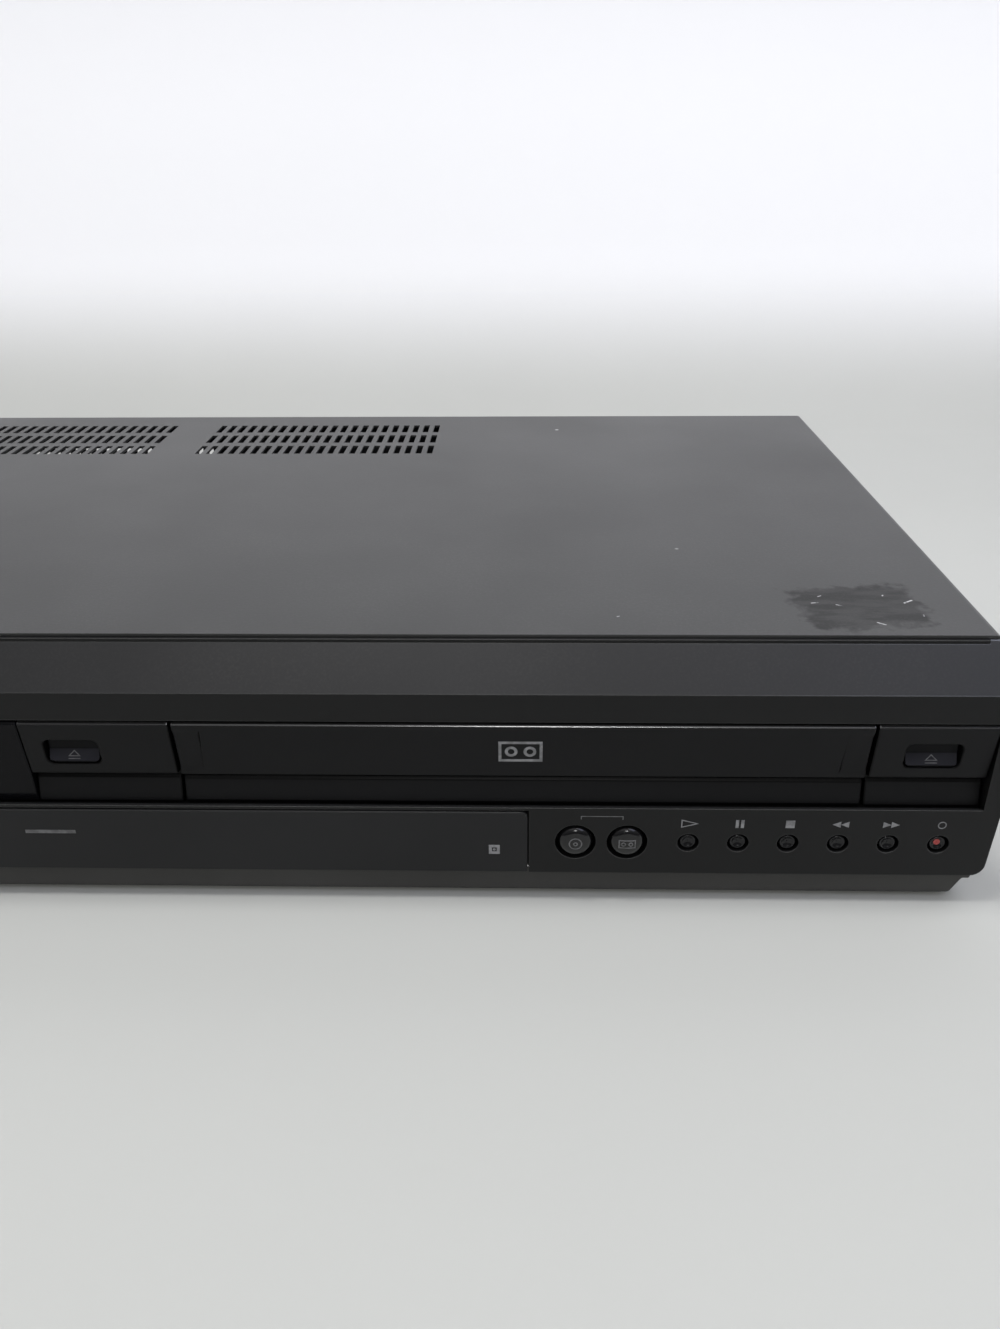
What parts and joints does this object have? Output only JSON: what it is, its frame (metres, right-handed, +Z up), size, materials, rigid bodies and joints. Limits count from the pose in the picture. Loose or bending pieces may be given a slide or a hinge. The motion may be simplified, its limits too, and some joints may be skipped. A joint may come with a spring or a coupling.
{
  "type": "disc and video cassette player",
  "caption": "Slim black disc and video cassette player: sprung cassette flap over a sliding disc tray, push buttons, sheet-metal cover, tape deck and disc drive inside.",
  "frame": {"origin": "middle of the underside, on the plane that the feet stand on", "axes": "+X to the right seen from the front, the front faces -Y, +Z up"},
  "size_m": [0.43, 0.2602, 0.082],
  "materials": {
    "cover_paint": "satin black-grey sheet",
    "zinc_sheet": "zinc-plated sheet",
    "rear_paint": "satin black sheet",
    "fascia_plastic": "fine-grained black ABS",
    "trim_plastic": "satin dark grey ABS",
    "foot_rubber": "matt",
    "black_steel": "blackened",
    "smoked_window": "smoked acrylic",
    "panel_plastic": "satin black ABS",
    "key_plastic": "gloss black",
    "white_plastic": "natural acetal",
    "dark_plastic": "dark grey ABS",
    "machined_aluminium": "turned",
    "steel": "bright",
    "belt_rubber": "smooth",
    "board_green": "solder mask",
    "board_tan": "paper laminate",
    "connector_plastic": "black"
  },
  "bodies": {
    "case": {"top_cover": "cover_paint", "chassis_pan": "zinc_sheet", "rear_panel": "rear_paint", "front_fascia": "fascia_plastic", "base_trim": "trim_plastic", "rubber_feet": "foot_rubber", "cover_screws": "black_steel", "display_window": "smoked_window", "power_panel": "panel_plastic", "disc_eject_panel": "panel_plastic", "tape_eject_panel": "panel_plastic", "flap_spring": "steel", "button_board": "board_tan", "display_board": "board_tan", "loader_frame": "dark_plastic", "clamp_bridge": "zinc_sheet", "tray_motor": "steel", "tray_belt": "belt_rubber", "deck_plate": "zinc_sheet", "side_brackets": "zinc_sheet", "lower_drum": "machined_aluminium", "capstan_belt": "belt_rubber", "tape_heads": "steel", "loading_motor": "steel", "main_board": "board_green", "power_board": "board_tan", "tuner_can": "zinc_sheet", "phono_sockets": "connector_plastic", "mains_inlet": "connector_plastic"},
    "flap": {"cassette_flap": "panel_plastic"},
    "tray": {"disc_tray": "dark_plastic", "tray_door": "fascia_plastic"},
    "tray_pinion": {"tray_gear": "white_plastic"},
    "puck": {"clamp_puck": "white_plastic"},
    "traverse": {"traverse_plate": "dark_plastic", "sled_rods": "steel"},
    "turntable": {"disc_turntable": "machined_aluminium"},
    "pickup": {"optical_sled": "machined_aluminium"},
    "slides": {"carriage_slides": "white_plastic"},
    "carriage": {"cassette_carriage": "zinc_sheet"},
    "drum": {"head_drum": "machined_aluminium"},
    "supply": {"supply_reel": "white_plastic"},
    "takeup": {"takeup_reel": "white_plastic"},
    "clutch": {"reel_clutch": "white_plastic"},
    "capstan_rotor": {"capstan": "steel"},
    "pinch": {"pinch_arm": "zinc_sheet"},
    "roller": {"pinch_roller": "belt_rubber"},
    "entry": {"entry_guide": "steel"},
    "exit": {"exit_guide": "steel"},
    "power_button": {"power_button": "key_plastic"},
    "disc_eject_button": {"disc_eject_button": "key_plastic"},
    "tape_eject_button": {"tape_eject_button": "key_plastic"},
    "disc_select_button": {"disc_select_button": "key_plastic"},
    "tape_select_button": {"tape_select_button": "key_plastic"},
    "play_button": {"play_button": "key_plastic"},
    "pause_button": {"pause_button": "key_plastic"},
    "stop_button": {"stop_button": "key_plastic"},
    "rewind_button": {"rewind_button": "key_plastic"},
    "forward_button": {"forward_button": "key_plastic"},
    "record_button": {"record_button": "key_plastic"}
  },
  "joints": [
    {"name": "flap_swing", "type": "hinge", "parent": "case", "child": "flap", "pos_m": [0.079, -0.1247, 0.0641], "axis": [1, 0, 0], "range_deg": [0, 88], "stiffness_Nm_per_rad": 0.012, "springref_deg": -28.65},
    {"name": "tray_out", "type": "slide", "parent": "case", "child": "tray", "axis": [0, -1, 0], "range_m": [0, 0.13]},
    {"name": "tray_gear_turn", "type": "hinge", "parent": "case", "child": "tray_pinion", "pos_m": [-0.067, -0.1064, 0.01], "axis": [0, 0, 1], "range_deg": [-832, 4]},
    {"name": "power_press", "type": "slide", "parent": "case", "child": "power_button", "axis": [0, 1, 0], "range_m": [0, 0.001], "stiffness_N_per_m": 250, "springref_m": -0.0004},
    {"name": "disc_eject_press", "type": "slide", "parent": "case", "child": "disc_eject_button", "axis": [0, 1, 0], "range_m": [0, 0.001], "stiffness_N_per_m": 250, "springref_m": -0.0004},
    {"name": "tape_eject_press", "type": "slide", "parent": "case", "child": "tape_eject_button", "axis": [0, 1, 0], "range_m": [0, 0.001], "stiffness_N_per_m": 250, "springref_m": -0.0004},
    {"name": "disc_select_press", "type": "slide", "parent": "case", "child": "disc_select_button", "axis": [0, 1, 0], "range_m": [0, 0.001], "stiffness_N_per_m": 250, "springref_m": -0.0004},
    {"name": "tape_select_press", "type": "slide", "parent": "case", "child": "tape_select_button", "axis": [0, 1, 0], "range_m": [0, 0.001], "stiffness_N_per_m": 250, "springref_m": -0.0004},
    {"name": "play_press", "type": "slide", "parent": "case", "child": "play_button", "axis": [0, 1, 0], "range_m": [0, 0.001], "stiffness_N_per_m": 250, "springref_m": -0.0004},
    {"name": "pause_press", "type": "slide", "parent": "case", "child": "pause_button", "axis": [0, 1, 0], "range_m": [0, 0.001], "stiffness_N_per_m": 250, "springref_m": -0.0004},
    {"name": "stop_press", "type": "slide", "parent": "case", "child": "stop_button", "axis": [0, 1, 0], "range_m": [0, 0.001], "stiffness_N_per_m": 250, "springref_m": -0.0004},
    {"name": "rewind_press", "type": "slide", "parent": "case", "child": "rewind_button", "axis": [0, 1, 0], "range_m": [0, 0.001], "stiffness_N_per_m": 250, "springref_m": -0.0004},
    {"name": "forward_press", "type": "slide", "parent": "case", "child": "forward_button", "axis": [0, 1, 0], "range_m": [0, 0.001], "stiffness_N_per_m": 250, "springref_m": -0.0004},
    {"name": "record_press", "type": "slide", "parent": "case", "child": "record_button", "axis": [0, 1, 0], "range_m": [0, 0.001], "stiffness_N_per_m": 250, "springref_m": -0.0004},
    {"name": "puck_spin", "type": "hinge", "parent": "case", "child": "puck", "pos_m": [-0.102, -0.06, 0.026], "axis": [0, 0, 1], "continuous": true},
    {"name": "traverse_lift", "type": "hinge", "parent": "case", "child": "traverse", "pos_m": [-0.102, 0.034, 0.013], "axis": [-1, 0, 0], "range_deg": [0, 3.05]},
    {"name": "disc_spin", "type": "hinge", "parent": "traverse", "child": "turntable", "pos_m": [-0.102, -0.05997, 0.01], "axis": [0, -0.0532, 0.9986], "continuous": true},
    {"name": "pickup_travel", "type": "slide", "parent": "traverse", "child": "pickup", "axis": [0, 0.9986, 0.0532], "range_m": [0, 0.035]},
    {"name": "carriage_in", "type": "slide", "parent": "case", "child": "slides", "axis": [0, 1, 0], "range_m": [0, 0.072]},
    {"name": "carriage_down", "type": "slide", "parent": "slides", "child": "carriage", "axis": [0, 0, -1], "range_m": [0, 0.012]},
    {"name": "drum_spin", "type": "hinge", "parent": "case", "child": "drum", "pos_m": [0.079, 0.0711, 0.0162], "axis": [0, 0.1045, 0.9945], "continuous": true},
    {"name": "capstan_spin", "type": "hinge", "parent": "case", "child": "capstan_rotor", "pos_m": [0.145, 0.0571, 0.02], "axis": [0, 0, 1], "continuous": true},
    {"name": "clutch_spin", "type": "hinge", "parent": "case", "child": "clutch", "pos_m": [0.079, 0.0091, 0.014], "axis": [0, 0, 1], "continuous": true},
    {"name": "supply_spin", "type": "hinge", "parent": "case", "child": "supply", "pos_m": [0.033, -0.0149, 0.02], "axis": [0, 0, 1], "continuous": true},
    {"name": "takeup_spin", "type": "hinge", "parent": "case", "child": "takeup", "pos_m": [0.125, -0.0149, 0.02], "axis": [0, 0, 1], "continuous": true},
    {"name": "pinch_swing", "type": "hinge", "parent": "case", "child": "pinch", "pos_m": [0.165, 0.0431, 0.02], "axis": [0, 0, -1], "range_deg": [0, 11]},
    {"name": "roller_spin", "type": "hinge", "parent": "pinch", "child": "roller", "pos_m": [0.14795, 0.04703, 0.028], "axis": [0, 0, 1], "continuous": true},
    {"name": "exit_guide_swing", "type": "hinge", "parent": "case", "child": "exit", "pos_m": [0.079, 0.0711, 0.017], "axis": [0, 0, 1], "range_deg": [0, 75]},
    {"name": "entry_guide_swing", "type": "hinge", "parent": "case", "child": "entry", "pos_m": [0.079, 0.0711, 0.017], "axis": [0, 0, -1], "range_deg": [0, 76]}
  ],
  "couplings": [
    {"joint": "tray_gear_turn", "follows": "tray_out", "rad_per_m": -111.11},
    {"joint": "clutch_spin", "follows": "capstan_spin", "ratio": 2.125},
    {"joint": "entry_guide_swing", "follows": "exit_guide_swing", "ratio": 1}
  ]
}
